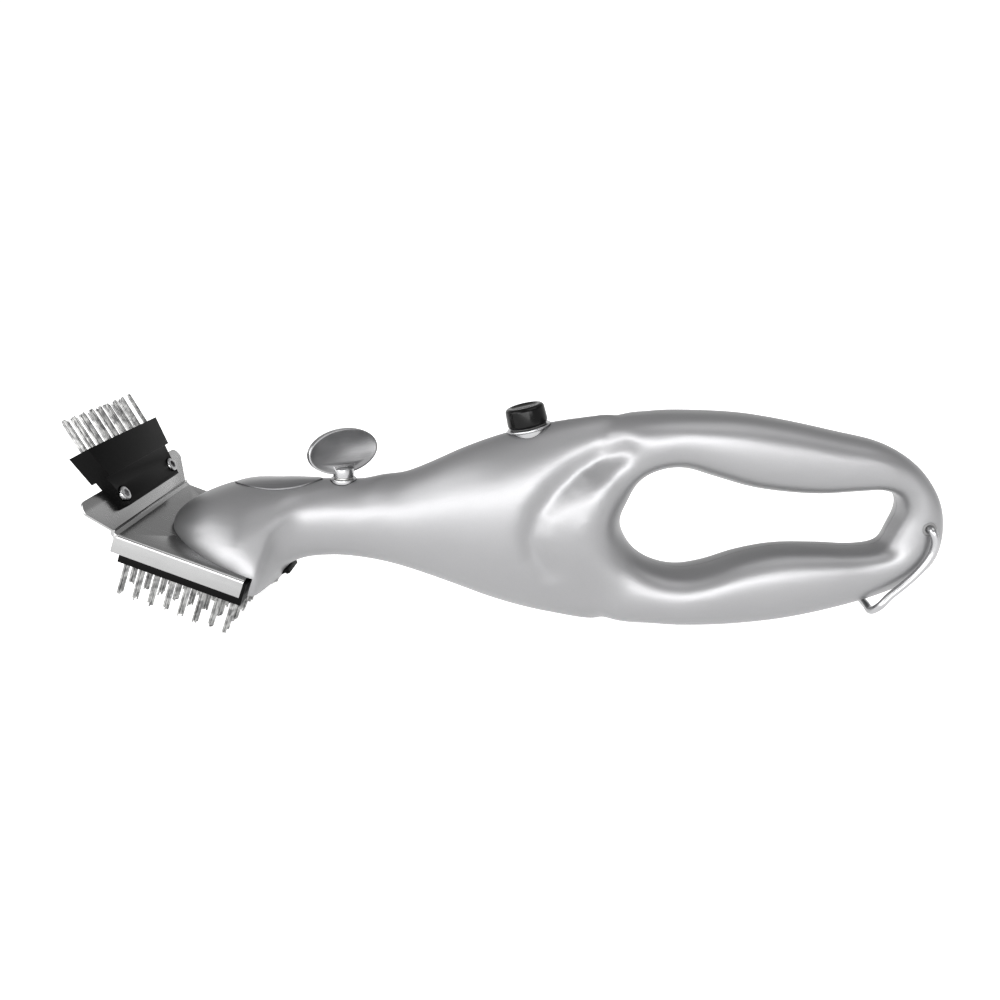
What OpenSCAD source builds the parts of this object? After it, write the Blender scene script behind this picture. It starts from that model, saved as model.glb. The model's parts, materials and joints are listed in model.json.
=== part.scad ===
// Grill cleaning brush with a water-filled handle, a steel head and two wire brushes.
// X runs from the head to the tail, Y across, Z up; the object rests on z = 0.

/* [Handle] */
// Wall thickness of the two handle shells
wall = 2.6; // [2:0.1:3.4]
// Number of sides of a handle cross-section
section_sides = 24; // [16:4:32]
// Half thickness of the thin neck
neck_half = 14.5; // [13:0.5:17]
// Half thickness of the belly that holds the water
belly_half = 23; // [20:0.5:26]
// Half thickness of the tail where the hanging ring turns
tail_half = 12; // [11:0.5:12.5]

/* [Head] */
// Slope of the head plate, down towards the handle
head_slope = 19; // [15:1:23]
// Length of the head plate along its slope
plate_len = 58; // [54:1:64]
// Width of the head plate
plate_w = 80; // [76:1:90]
// Thickness of the steel sheet
sheet = 1; // [0.8:0.1:1.2]
// Depth of the plate's side flanges
side_depth = 8.5; // [7:0.5:10]
// How far the front flange leans forward from upright
front_lean = 29; // [24:1:34]
// Length of the front flange from its fold
front_len = 18.5; // [17:0.5:20]

/* [Main brush] */
// Depth of the bristle tips below the plate
tip_depth = 30; // [26:0.5:34]
// Depth of the underside of the brush block below the plate
block_depth = 12; // [11:0.5:13]
// Number of tufts along the plate
tufts_long = 8; // [6:1:8]
// Number of tufts across the plate
tufts_wide = 7; // [5:1:8]
// Radius of one tuft of wire
tuft_r = 1.25; // [1:0.05:1.4]

/* [Front brush] */
// Height of the foot of the front holder above the fold
holder_low = 7; // [6:0.5:8]
// Height of the top of the front holder above the fold
holder_high = 36; // [34:0.5:38]
// Free length of the front bristles
front_bristle_len = 15.5; // [13:0.5:18]
// Number of tufts in the first row
front_tufts = 9; // [6:1:10]

/* [Water valve] */
// Length of the oval paddle
paddle_len = 36; // [30:1:38]
// Height of the oval paddle
paddle_h = 21; // [18:1:23]
// Angle of the paddle from the handle's length
paddle_turn = 44; // [30:1:60]
// Radius of the valve stem
stem_r = 4; // [3.5:0.1:4]

/* [Fill cap] */
// Radius of the fill cap
cap_r = 9.2; // [8.8:0.1:9.6]
// Height of the fill cap
cap_h = 9; // [8:0.5:10]
// Tilt of the fill cap towards the head
cap_tilt = 14.5; // [12:0.5:17]

/* [Hanging ring] */
// Radius of the ring's wire
wire_r = 1.75; // [1.5:0.05:1.8]
// Distance of each leg of the ring from the middle
leg_y = 15; // [14.8:0.1:16]

/* [Hidden] */
$fn = 48;
// play of a shaft in its bore, and the gap between neighbours that don't touch
run_play = 0.06;
gap = 0.3;
disc = 0.1;
far = 200;
eps = 0.01;

// head: the rear edge of the plate stands so high that the last row of tips meets the floor
head_x = -113.5;
row_start = 2.6;
row_pitch = 7;
tuft_edge = 6;
block_front = 4;
block_back = 1.5;
col_pitch = (plate_w - 2 * tuft_edge) / (tufts_wide - 1);
head_z = tip_depth * cos(head_slope) - (row_start - tuft_r) * sin(head_slope);
fold_turn = 90 - front_lean - head_slope;
gasket_t = 0.8;
foot_len = 45;
foot_half = 36;
lip_gap = 2.4;
lip_t = 2.6;
lip_half = 36.5;

// handle sections: [outer point, inner point, half thickness], points as [x, z]
flare = [
    [[-156.8, 44.2], [-156.8, 41.6], 4],
    [[-154, 48], [-154, 35.6], 14],
    [[-149, 51.6], [-149, 28.4], 21],
    [[-142, 55.4], [-142, 20], 27.4],
    [[-134, 58.6], [-134, 11.4], 32],
    [[-126, 60.8], [-126, 3.6], 34.8],
    [[-118, 61.9], [-118, -2.7], 36],
];
throat = [
    [[-104, 62.8], [-104, 23.1], 24],
    [[-95, 63.3], [-95, 26.2], 17.5],
    [[-82, 63.9], [-82, 27.5], neck_half],
];
neck = [
    throat[len(throat) - 1],
    [[-70, 64.4], [-70, 27], neck_half],
    [[-60, 66.9], [-60, 25.6], neck_half + 0.5],
    [[-50, 68.6], [-50, 23.4], neck_half + 1.5],
    [[-38, 73.8], [-38, 19.8], neck_half + 3],
    [[-24, 80.8], [-24, 15.2], belly_half - 3.5],
    [[-8, 87.4], [-8, 9.8], belly_half - 1],
    [[10, 92.9], [10, 5], belly_half],
    [[22, 95.8], [22, 2.6], belly_half - 2],
    [[34, 98], [34, 1.2], belly_half - 7],
    [[44, 99.6], [44, 0.8], belly_half - 14],
];
grip = [
    [[17, 50], [49, 50], 18.5],
    [[23, 71], [52, 60], 18.5],
    [[40, 98.6], [56, 69], 18],
    [[59, 101.4], [64, 75], 17.5],
    [[78, 102.2], [75, 77], 16.5],
    [[99, 102], [89, 73.5], 16.5],
    [[120, 99.5], [108, 68.9], 16],
    [[142, 95.3], [133, 67.3], 15],
    [[160, 91.3], [152, 69.2], 14],
    [[173, 85.2], [163, 70.3], 13],
    [[183, 76.3], [170.5, 67.5], tail_half],
    [[190.5, 64], [172.6, 61], tail_half],
    [[193.3, 49], [169.6, 52], tail_half],
    [[190.5, 36.5], [167, 45.3], tail_half + 0.3],
    [[182, 27], [161, 43], tail_half + 0.8],
    [[168, 19.2], [152, 42.3], 13.5],
    [[148, 11.6], [141, 42.4], 15],
    [[126, 5.3], [121, 41.3], 16],
    [[104, 1.9], [104, 37], 16.5],
    [[84, 0], [90, 31], 17],
    [[66, 0], [77, 28.3], 17.5],
    [[43, 1.4], [64, 31.3], 18],
    [[24, 24], [54.5, 38.5], 18.5],
];

// water way: valve in the neck, tube to the nozzle on the plate
valve_x = -78.2;
valve_z = 45;
channel_r = 3;
port_r = 2.4;
stem_low = 37;
gland_r = 5.9;
gland_z = 62.4;
gland_top = 64.6;
gland_low = 58.6;
seal_low = 57;
seal_r = 5.2;
paddle_z = 77.2;
paddle_t = 2.2;
hub_top = 70;
hub_low = 65.2;
spigot_top = 67.2;
spigot_r = 2.8;
pin_r = 2;
hub_r = 4.8;
rivet_z = 68.4;
rivet_r = 0.8;
body_front = 11.5;
nozzle_s = 20;
nozzle_r = 6;
nozzle_h = 12;
tube_r = 3.6;
tube_bore = 2.4;
tube_from = [valve_x - body_front - 0.2, 44.4];
tube_to = [-125.4, 41];

// badge: an almond plate let into the top of the neck
badge_x = -108.5;
badge_len = 41;
badge_half = 9.5;
badge_t = 0.7;
badge_seat = 0.8;

// fill opening on the shoulder
fill_x = 5.8;
fill_z = 91.7;
fill_bore = 6.6;
fill_wall = 8.5;
fill_flange = 10;
plug_len = 5;

// front brush
holder_t = 5.6;
holder_step = 22;
holder_out = 2.2;
holder_top_t = 7.6;
holder_half_low = 27;
holder_half_high = 34;
screw_y = 25;
screw_h = 12.4;
screw_r = 1.5;
front_pitch = 7.4;
front_wide = 10;

// hanging ring
ring_x = 183.4;
ring_z = 55.6;
bush_r = 3;
bush_in = 5;
leg = [
    [ring_x, ring_z], [185.3, 51], [184.8, 45], [181.3, 38], [175.8, 31], [169.8, 24.5],
    [166.2, 19.6],
];
bar = [164.2, 15.6];
corner_y = 4;
knuckle = 0.12;

// release tab under the neck
tab_x = -110;
tab_z = 18;
tab_slope = 22;

// ---- frames ----

// at the rear edge of the plate: +X down the slope, +Z square to the plate
module on_head() {
    translate([head_x, 0, head_z])
        rotate([0, head_slope, 0])
            children();
}

// at the fold of the front flange: -X up the flange, +Z towards the handle
module on_front() {
    on_head()
        translate([-plate_len, 0, 0])
            rotate([0, fold_turn, 0])
                children();
}

// at the fill opening: +Z out of the shoulder
module on_fill() {
    translate([fill_x, 0, fill_z])
        rotate([0, -cap_tilt, 0])
            children();
}

// at the release tab: +X back along the underside of the neck
module on_tab() {
    translate([tab_x, 0, tab_z])
        rotate([0, -tab_slope, 0])
            children();
}

// ---- helpers ----

// a thin oval disc between an outer and an inner point of the handle's side view
module section(s, skin) {
    span = s[0] - s[1];
    mid = (s[0] + s[1]) / 2;
    translate([mid.x, 0, mid.y])
        rotate([0, -atan2(span.y, span.x), 0])
            scale([max(norm(span) / 2 + skin, 0.5), max(s[2] + skin, 0.5), 1])
                cylinder(h = disc, r = 1, center = true, $fn = section_sides);
}

// a row of sections joined in pairs
module skin_over(rows, skin, closed = false) {
    last = len(rows) - (closed ? 1 : 2);
    for (i = [0 : last])
        hull() {
            section(rows[i], skin);
            section(rows[(i + 1) % len(rows)], skin);
        }
}

// the wall that reaches down behind the brush block
module lip() {
    on_head()
        translate([lip_gap, -lip_half, -side_depth])
            cube([lip_t, 2 * lip_half, side_depth]);
}

// the hood over the head, down to the lip and back into the neck
module hood(skin) {
    skin_over(flare, skin);
    hull() {
        section(flare[len(flare) - 1], skin);
        if (skin >= 0)
            lip();
        section(throat[0], skin);
    }
    skin_over(throat, skin);
}

module handle_solid(skin) {
    hood(skin);
    skin_over(neck, skin);
    skin_over(grip, skin, closed = true);
}

// a pointed oval seen from above, made where two circles cross
module almond(length, half) {
    r = (length * length / 4 + half * half) / (2 * half);
    intersection() {
        translate([0, r - half])
            circle(r = r, $fn = 96);
        translate([0, half - r])
            circle(r = r, $fn = 96);
    }
}

module badge_prism(grow) {
    translate([badge_x, 0, 50])
        linear_extrude(height = 20)
            almond(badge_len + 2 * grow, badge_half + grow);
}

// half of an oval, the foot of the handle on the plate
module foot_shape(length, half) {
    polygon([for (a = [-90 : 7.5 : 90]) [-length * cos(a), half * sin(a)]]);
}

// a round bar between two points
module rod(from, to, r) {
    d = to - from;
    translate(from)
        rotate([0, atan2(norm([d.x, d.y]), d.z), atan2(d.y, d.x)])
            cylinder(h = norm(d), r = r);
}

module ring_of(outer, inner, low, high) {
    translate([0, 0, low])
        difference() {
            cylinder(h = high - low, r = outer);
            translate([0, 0, -1])
                cylinder(h = high - low + 2, r = inner);
        }
}

module at_head_screws() {
    for (side = [-1, 1]) {
        translate([-8, side * 26, 0])
            children();
        translate([-32, side * 17, 0])
            children();
    }
}

module at_front_screws() {
    for (side = [-1, 1])
        translate([-screw_h, side * screw_y, 0])
            children();
}

// ---- handle shells ----

// everything that is taken out of both shells
module shell_cuts() {
    // the plate, its gasket and the brush block
    on_head() {
        translate([-far, -far / 2, -far])
            cube([far + lip_gap - eps, far, far + gasket_t]);
        translate([-far, -far / 2, -far - side_depth])
            cube([far + 16, far, far]);
        at_head_screws()
            cylinder(h = 9, r = screw_r + 0.3, $fn = 24);
    }
    // the valve gland and its stem
    translate([valve_x, 0, gland_z])
        cylinder(h = 10, r = gland_r + gap);
    translate([valve_x, 0, 50])
        cylinder(h = 20, r = seal_r + 0.4);
    // the fill neck
    on_fill() {
        translate([0, 0, -0.9])
            cylinder(h = 8, r = fill_flange + gap);
        translate([0, 0, -14])
            cylinder(h = 20, r = fill_wall + 0.2);
    }
    // the hanging ring's bushes
    translate([ring_x, 0, ring_z])
        rotate([90, 0, 0])
            cylinder(h = 60, r = bush_r + 0.15, center = true, $fn = 32);
    // the pocket of the release tab and its guide, and the pilot holes of their screws
    on_tab() {
        translate([-4.2, -12 - gap, -12])
            cube([16, 24 + 2 * gap, 12.8 + gap]);
        for (side = [-1, 1])
            translate([-0.6, side * 9.8, 0])
                cylinder(h = 6, r = 1.25, $fn = 16);
    }
    // the seat of the badge
    difference() {
        badge_prism(0.25);
        hood(-badge_seat);
    }
}

// bosses for the head screws and the ring's bushes
module shell_bosses() {
    on_head()
        at_head_screws()
            translate([0, 0, gasket_t])
                cylinder(h = 11, r = 4, $fn = 24);
    translate([ring_x, 0, ring_z])
        rotate([90, 0, 0])
            cylinder(h = 60, r = 5, center = true, $fn = 24);
    on_fill()
        translate([0, 0, -10])
            cylinder(h = 12, r = 12, $fn = 32);
}

module shell_half(side) {
    difference() {
        intersection() {
            difference() {
                handle_solid(0);
                difference() {
                    handle_solid(-wall);
                    shell_bosses();
                }
            }
            translate([-far, side > 0 ? 0 : -far, -far])
                cube([2 * far, far, 2 * far]);
        }
        shell_cuts();
    }
}

module shell_left() {
    color("silver")
        shell_half(-1);
}

module shell_right() {
    color("silver")
        shell_half(1);
}

module badge() {
    color("dimgray")
        intersection() {
            badge_prism(0);
            difference() {
                hood(badge_t);
                hood(-badge_seat + 0.05);
            }
        }
}

// ---- water valve ----

module valve_knob() {
    color("gainsboro")
        translate([valve_x, 0, 0])
            rotate([0, 0, paddle_turn])
                difference() {
                    union() {
                        intersection() {
                            translate([0, 0, paddle_z])
                                rotate([90, 0, 0])
                                    linear_extrude(height = paddle_t, center = true)
                                        polygon([for (a = [0 : 7.5 : 352.5])
                                            [paddle_len / 2 * cos(a), paddle_h / 2 * sin(a)]]);
                            translate([0, 0, 80])
                                cube([60, 60, 60], center = true);
                        }
                        translate([0, 0, hub_low])
                            cylinder(h = hub_top - hub_low, r = hub_r);
                    }
                    translate([0, 0, 60])
                        cylinder(h = spigot_top - 60, r = spigot_r);
                    translate([0, 0, rivet_z])
                        rotate([90, 0, 0])
                            cylinder(h = 20, r = rivet_r, center = true);
                    translate([0, 0, 60])
                        cylinder(h = hub_top - 60, r = pin_r);
                }
}

module knob_rivet() {
    color("gray")
        translate([valve_x, 0, rivet_z])
            rotate([0, 0, paddle_turn])
                rotate([90, 0, 0])
                    cylinder(h = 2 * hub_r - 1, r = rivet_r, center = true);
}

module valve_stem() {
    color("gray")
        translate([valve_x, 0, 0])
            rotate([0, 0, paddle_turn])
                difference() {
                    union() {
                        translate([0, 0, stem_low])
                            cylinder(h = hub_low - stem_low, r = stem_r);
                        translate([0, 0, hub_low])
                            cylinder(h = spigot_top - hub_low, r = spigot_r);
                        translate([0, 0, spigot_top])
                            cylinder(h = hub_top - spigot_top, r = pin_r);
                    }
                    translate([0, 0, valve_z])
                        rotate([0, 90, 0])
                            cylinder(h = 20, r = port_r, center = true);
                    translate([0, 0, rivet_z])
                        rotate([90, 0, 0])
                            cylinder(h = 20, r = rivet_r, center = true);
                }
}

module valve_gland() {
    color("lightgray")
        translate([valve_x, 0, 0]) {
            ring_of(gland_r, stem_r + run_play, gland_z + 0.1, gland_top);
            ring_of(seal_r, stem_r + run_play, gland_low, gland_z + 0.1);
        }
}

module stem_seal() {
    color("black")
        translate([valve_x, 0, 0])
            ring_of(seal_r, stem_r + run_play, seal_low, gland_low);
}

// the plug of the neck that the stem turns in
module valve_body() {
    color("dimgray")
        difference() {
            hull() {
                section([[valve_x - body_front, 63.6], [valve_x - body_front, 27], neck_half + 1],
                    -wall - 0.6);
                section([[valve_x + body_front, 64.1], [valve_x + body_front, 27.4], neck_half],
                    -wall - 0.6);
            }
            translate([valve_x, 0, stem_low - 0.2])
                cylinder(h = 40, r = stem_r + run_play);
            translate([valve_x, 0, seal_low])
                cylinder(h = 20, r = seal_r + run_play);
            translate([valve_x, 0, valve_z])
                rotate([0, 90, 0])
                    cylinder(h = 40, r = channel_r, center = true);
        }
}

module outlet_tube() {
    color("dimgray")
        difference() {
            rod([tube_from.x, 0, tube_from.y], [tube_to.x, 0, tube_to.y], tube_r);
            rod([tube_from.x + 2, 0, tube_from.y + 0.2],
                [tube_to.x - 5, 0, tube_to.y - 0.5], tube_bore);
        }
}

module outlet_nozzle() {
    color("dimgray")
        difference() {
            on_head()
                translate([-nozzle_s, 0, 0]) {
                    translate([0, 0, gasket_t])
                        cylinder(h = nozzle_h, r = nozzle_r);
                    translate([0, 0, -3])
                        cylinder(h = 4, r = 4);
                }
            on_head()
                translate([-nozzle_s, 0, -4])
                    cylinder(h = nozzle_h, r = tube_bore);
            rod([tube_to.x + 8, 0, tube_to.y + 0.8], [tube_to.x - 0.4, 0, tube_to.y],
                tube_r + 0.1);
            rod([tube_to.x + 8, 0, tube_to.y + 0.8], [tube_to.x - 5, 0, tube_to.y - 0.5],
                tube_bore);
        }
}

module nozzle_nut() {
    color("gray")
        on_head()
            translate([-nozzle_s, 0, 0])
                difference() {
                    translate([0, 0, -3])
                        cylinder(h = 3 - sheet, r = 6.4, $fn = 6);
                    translate([0, 0, -4])
                        cylinder(h = 4, r = 4 + run_play);
                }
}

// ---- fill opening ----

module fill_neck() {
    color("white")
        on_fill() {
            ring_of(fill_wall, fill_bore, -9, -0.8);
            ring_of(fill_flange, fill_bore, -0.8, 0.4);
        }
}

module fill_cap() {
    color("black")
        on_fill() {
            translate([0, 0, 0.9])
                rotate_extrude()
                    union() {
                        translate([0, 0])
                            square([cap_r - 0.6, cap_h - 2]);
                        translate([cap_r - 1.6, 1])
                            square([1.6, cap_h - 3]);
                        translate([cap_r - 2, cap_h - 2])
                            circle(r = 2);
                        translate([0, cap_h - 2.5])
                            square([cap_r - 2, 2.5]);
                        translate([0, -plug_len - 0.9])
                            square([fill_bore - 0.08, plug_len + 0.9 + eps]);
                    }
        }
}

module cap_seal() {
    color("dimgray")
        on_fill()
            ring_of(8.2, fill_bore - 0.04, 0.4, 0.9);
}

// ---- steel head ----

module head_plate() {
    color("lightgray")
        difference() {
            union() {
                on_head() {
                    folded_sheet();
                    for (side = [-1, 1])
                        translate([-plate_len + 0.5, side * (plate_w - sheet) / 2 - sheet / 2,
                            -side_depth])
                            cube([plate_len - 2.1, sheet, side_depth - sheet / 2]);
                }
                on_front()
                    front_flange();
            }
            on_head() {
                at_head_screws()
                    translate([0, 0, -2])
                        cylinder(h = 4, r = screw_r + 0.2);
                translate([-nozzle_s, 0, -2])
                    cylinder(h = 4, r = 4.1);
            }
            on_front()
                at_front_screws()
                    translate([0, 0, -3])
                        cylinder(h = 6, r = screw_r + 0.2);
        }
}

// the flat plate and the start of the front flange, one bent strip as wide as the plate
module folded_sheet() {
    start = 2;
    up = [-cos(fold_turn), sin(fold_turn)];
    out = [-sin(fold_turn), -cos(fold_turn)];
    fold = [-plate_len, 0];
    rotate([90, 0, 0])
        linear_extrude(height = plate_w, center = true)
            polygon([
                [0, 0], fold, fold + start * up, fold + start * up + sheet * out,
                [-plate_len - sheet * tan(fold_turn / 2), -sheet], [0, -sheet],
            ]);
}

// the sheet bent up at the front edge, wider at its round corners than at the fold
module front_flange() {
    corner = 5;
    half = plate_w / 2;
    tip = half + front_wide;
    translate([0, 0, -sheet])
        linear_extrude(height = sheet)
            union() {
                polygon([
                    [0, -half], [0, half],
                    [-front_len + corner, tip], [-front_len + corner, -tip],
                ]);
                translate([-front_len, -tip + corner])
                    square([front_len, 2 * (tip - corner)]);
                for (side = [-1, 1])
                    translate([-front_len + corner, side * (tip - corner)])
                        circle(r = corner);
            }
}

module head_gasket() {
    color("black")
        on_head()
            linear_extrude(height = gasket_t)
                difference() {
                    translate([-0.3, 0])
                        foot_shape(foot_len - 2.5, foot_half - 2.5);
                    at_head_screws()
                        circle(r = screw_r + 0.3);
                    translate([-nozzle_s, 0])
                        circle(r = 5);
                }
}

module head_screws() {
    color("gray")
        on_head()
            at_head_screws() {
                translate([0, 0, -sheet - 1.6])
                    cylinder(h = 1.6, r = 3);
                translate([0, 0, -sheet])
                    cylinder(h = 9, r = screw_r);
            }
}

// ---- main brush ----

module brush_block() {
    inner = plate_w / 2 - sheet - gap;
    outer = plate_w / 2 - 0.2;
    top = sheet + gap;
    block_len = plate_len - block_front + block_back;
    color("black")
        on_head()
            difference() {
                union() {
                    translate([-plate_len + block_front, -inner, -side_depth - gap])
                        cube([block_len, 2 * inner, side_depth + gap - top]);
                    translate([-plate_len + block_front, -outer, -block_depth])
                        cube([block_len, 2 * outer, block_depth - side_depth - gap]);
                    // the rear end shows past the side flanges as a square post
                    translate([block_back - 2.6, -outer, -block_depth])
                        cube([2.6, 2 * outer, block_depth - top]);
                }
                at_head_screws()
                    translate([0, 0, -3.4])
                        cylinder(h = 4, r = 3.6);
                translate([-nozzle_s, 0, -4.4])
                    cylinder(h = 5, r = 7.2);
                // water runs from the nozzle's pocket along a groove to drip holes
                translate([-plate_len + 10, -1.5, -4.4])
                    cube([plate_len - 18, 3, 5]);
                for (i = [1 : tufts_long - 2])
                    translate([-row_start - (i + 0.5) * row_pitch, 0, -block_depth - 1])
                        cylinder(h = 12, r = 1);
            }
}

module main_bristles() {
    color("gray")
        on_head()
            for (i = [0 : tufts_long - 1])
                for (j = [0 : tufts_wide - 1])
                    translate([-row_start - i * row_pitch,
                        -plate_w / 2 + tuft_edge + j * col_pitch, -tip_depth])
                        cylinder(h = tip_depth - block_depth, r = tuft_r, $fn = 24);
}

// the catch that lets the brush block go; it slides back along the neck's underside
module release_tab() {
    color("black")
        on_tab() {
            translate([-3.4, -7, -1])
                cube([8.4, 14, 1.8]);
            translate([5, -7, -1.7])
                cube([1.8, 14, 2.5]);
        }
}

module tab_guide() {
    color("dimgray")
        on_tab()
            difference() {
                translate([-2.6, -12, -2])
                    cube([4, 24, 2.8]);
                translate([-10, -7 - gap, -1 - gap])
                    cube([20, 14 + 2 * gap, 3]);
                for (side = [-1, 1])
                    translate([-0.6, side * 9.8, -4])
                        cylinder(h = 8, r = 1);
            }
}

module tab_screws() {
    color("gray")
        on_tab()
            for (side = [-1, 1])
                translate([-0.6, side * 9.8, 0]) {
                    translate([0, 0, -2.7])
                        cylinder(h = 0.7, r = 1.8);
                    translate([0, 0, -2])
                        cylinder(h = 6, r = 1);
                }
}

// ---- front brush ----

module holder_outline(low, high) {
    function half_at(h) = holder_half_low + (holder_half_high - holder_half_low)
        * (h - holder_low) / (holder_high - holder_low);
    polygon([
        [-low, -half_at(low)], [-low, half_at(low)],
        [-high, half_at(high)], [-high, -half_at(high)],
    ]);
}

module front_holder() {
    color("black")
        on_front()
            difference() {
                union() {
                    linear_extrude(height = holder_t)
                        holder_outline(holder_low, holder_step);
                    translate([0, 0, -holder_out])
                        linear_extrude(height = holder_out + holder_top_t)
                            holder_outline(holder_step, holder_high);
                    for (k = [-4 : 4])
                        translate([-holder_high + 2, k * front_pitch - 1.5, holder_top_t - eps])
                            cube([holder_high - holder_step - 4, 3, 0.2]);
                }
                at_front_screws() {
                    translate([0, 0, holder_t - 1.2])
                        cylinder(h = 6, r = 3.8);
                    translate([0, 0, -1])
                        cylinder(h = 12, r = screw_r + 0.2);
                }
            }
}

module front_bristles() {
    second = front_tufts - 1;
    color("gray")
        on_front() {
            for (k = [0 : front_tufts - 1])
                translate([-holder_high, (k - (front_tufts - 1) / 2) * front_pitch, 3.8])
                    rotate([0, -90, 0])
                        cylinder(h = front_bristle_len, r = 1.2, $fn = 24);
            for (k = [0 : second - 1])
                translate([-holder_high, (k - (second - 1) / 2) * front_pitch, 0.2])
                    rotate([0, -90, 0])
                        cylinder(h = front_bristle_len, r = 1.2, $fn = 24);
        }
}

module front_screws() {
    color("lightgray")
        on_front()
            at_front_screws() {
                translate([0, 0, holder_t - 1.2])
                    cylinder(h = 2.2, r = 3.3);
                translate([0, 0, -sheet - 3])
                    cylinder(h = holder_t + sheet + 2, r = screw_r);
            }
}

module front_nuts() {
    color("gray")
        on_front()
            at_front_screws()
                translate([0, 0, -sheet - 2.4])
                    difference() {
                        cylinder(h = 2.4, r = 3.2, $fn = 6);
                        translate([0, 0, -1])
                            cylinder(h = 5, r = screw_r);
                    }
}

// ---- hanging ring ----

module hang_ring() {
    color("lightgray")
        for (side = [-1, 1]) {
            rod([ring_x, side * 7, ring_z], [ring_x, side * leg_y, ring_z], wire_r);
            for (i = [0 : len(leg) - 1])
                translate([leg[i].x, side * leg_y, leg[i].y])
                    sphere(r = wire_r + knuckle);
            for (i = [0 : len(leg) - 2])
                rod([leg[i].x, side * leg_y, leg[i].y],
                    [leg[i + 1].x, side * leg_y, leg[i + 1].y], wire_r);
            rod([leg[len(leg) - 1].x, side * leg_y, leg[len(leg) - 1].y],
                [bar.x, side * (leg_y - corner_y), bar.y], wire_r);
            translate([bar.x, side * (leg_y - corner_y), bar.y])
                sphere(r = wire_r + knuckle);
            rod([bar.x, side * (leg_y - corner_y), bar.y], [bar.x, 0, bar.y], wire_r);
        }
}

module ring_bushes() {
    color("dimgray")
        for (side = [-1, 1])
            translate([ring_x, side * (bush_in + tail_half) / 2, ring_z])
                rotate([90, 0, 0])
                    translate([0, 0, -(tail_half - bush_in) / 2])
                        ring_of(bush_r, wire_r + run_play, 0, tail_half - bush_in);
}

shell_left();
shell_right();
badge();
valve_knob();
knob_rivet();
valve_stem();
valve_gland();
stem_seal();
valve_body();
outlet_tube();
outlet_nozzle();
nozzle_nut();
fill_neck();
fill_cap();
cap_seal();
head_plate();
head_gasket();
head_screws();
brush_block();
main_bristles();
release_tab();
tab_guide();
tab_screws();
front_holder();
front_bristles();
front_screws();
front_nuts();
hang_ring();
ring_bushes();
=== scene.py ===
"""The looks of a grill cleaning brush: a hollow handle with a finger loop, a steel head,
two wire brushes, a water valve, a fill cap and a hanging ring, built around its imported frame."""

import json
import math
import random
from contextlib import contextmanager

import bmesh
import bpy
from bpy.props import FloatProperty, FloatVectorProperty, IntProperty, PointerProperty
from mathutils import Matrix, Vector

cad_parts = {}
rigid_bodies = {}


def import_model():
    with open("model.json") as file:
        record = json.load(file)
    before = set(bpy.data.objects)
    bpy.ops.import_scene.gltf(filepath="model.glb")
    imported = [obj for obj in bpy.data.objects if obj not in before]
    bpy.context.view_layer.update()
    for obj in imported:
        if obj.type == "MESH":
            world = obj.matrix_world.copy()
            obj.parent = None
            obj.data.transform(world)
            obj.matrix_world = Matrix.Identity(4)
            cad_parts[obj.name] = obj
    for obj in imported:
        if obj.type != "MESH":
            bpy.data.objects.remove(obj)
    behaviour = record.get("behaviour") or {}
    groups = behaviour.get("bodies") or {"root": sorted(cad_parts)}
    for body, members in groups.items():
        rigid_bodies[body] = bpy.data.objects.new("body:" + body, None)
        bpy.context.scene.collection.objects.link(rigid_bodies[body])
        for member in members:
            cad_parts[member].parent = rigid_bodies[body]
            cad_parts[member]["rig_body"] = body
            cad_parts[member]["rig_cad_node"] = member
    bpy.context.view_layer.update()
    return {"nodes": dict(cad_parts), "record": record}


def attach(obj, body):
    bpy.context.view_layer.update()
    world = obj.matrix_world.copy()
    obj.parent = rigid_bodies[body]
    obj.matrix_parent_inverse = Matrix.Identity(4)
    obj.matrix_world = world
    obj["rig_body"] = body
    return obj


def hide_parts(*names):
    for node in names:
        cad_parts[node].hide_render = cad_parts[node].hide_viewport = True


bl_info = {
    "name": "Grill Cleaning Brush",
    "version": (1, 0, 0),
    "blender": (4, 5, 0),
    "location": "View3D > Sidebar > Grill Brush",
    "description": "Builds a grill cleaning brush with a water handle on its frame",
    "category": "Object",
}

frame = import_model()

MM = 0.001

# a distance that counts as none when edges and vertices are picked by place, and one at
# which two points are the same
NEAR = 0.1 * MM
SAME_POINT = 1e-6

# ---- places, in millimetres and degrees, as the frame has them ----

# the folded steel plate, its side flanges and its wide front flange
PLATE_LENGTH = 58
PLATE_WIDTH = 80
SHEET = 1
SIDE_DEPTH = 8.5
FLANGE_LENGTH = 18.5
FLANGE_EXTRA = 10
FLANGE_CORNER = 5
FLANGE_LEAN = 29
NOZZLE_BACK = 20

# the main brush under the plate
TIP_DEPTH = 30
BLOCK_DEPTH = 12
ROW_START = 2.6
ROW_PITCH = 7
TUFT_EDGE = 6
TUFT_ROWS = 8
TUFT_COLUMNS = 7
TUFT_RADIUS = 1.25

# how much of a tuft's radius its wires fill, and the most that a wire leans out
MAIN_FILL = 0.9
MAIN_LEAN = 0.7
FRONT_FILL = 0.5
FRONT_LEAN = 0.6

# the front brush on its flange, and the two screws that hold it
HOLDER_TOP = 36
HOLDER_FACE = 7.6
HOLDER_THICK = 5.6
FRONT_LENGTH = 15.5
FRONT_TUFTS = 9
FRONT_PITCH = 7.4
SCREW_HEIGHT = 12.4
SCREW_SIDE = 25

# the handle's lip behind the plate, and the badge in its neck
LIP_GAP = 2.4
LIP_THICK = 2.6
LIP_HALF = 36.5
BADGE_X = -108.5
BADGE_LENGTH = 41
BADGE_HALF = 10.8

# the water valve: its paddle, and the seat and the hole in the neck
VALVE_X = -78.2
PADDLE_Z = 77.2
PADDLE_LENGTH = 36
PADDLE_HEIGHT = 21
PADDLE_TURN = 44
GLAND_SEAT_RADIUS = 6.15
GLAND_SEAT_Z = 62.4
STEM_HOLE_RADIUS = 5.6

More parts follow.
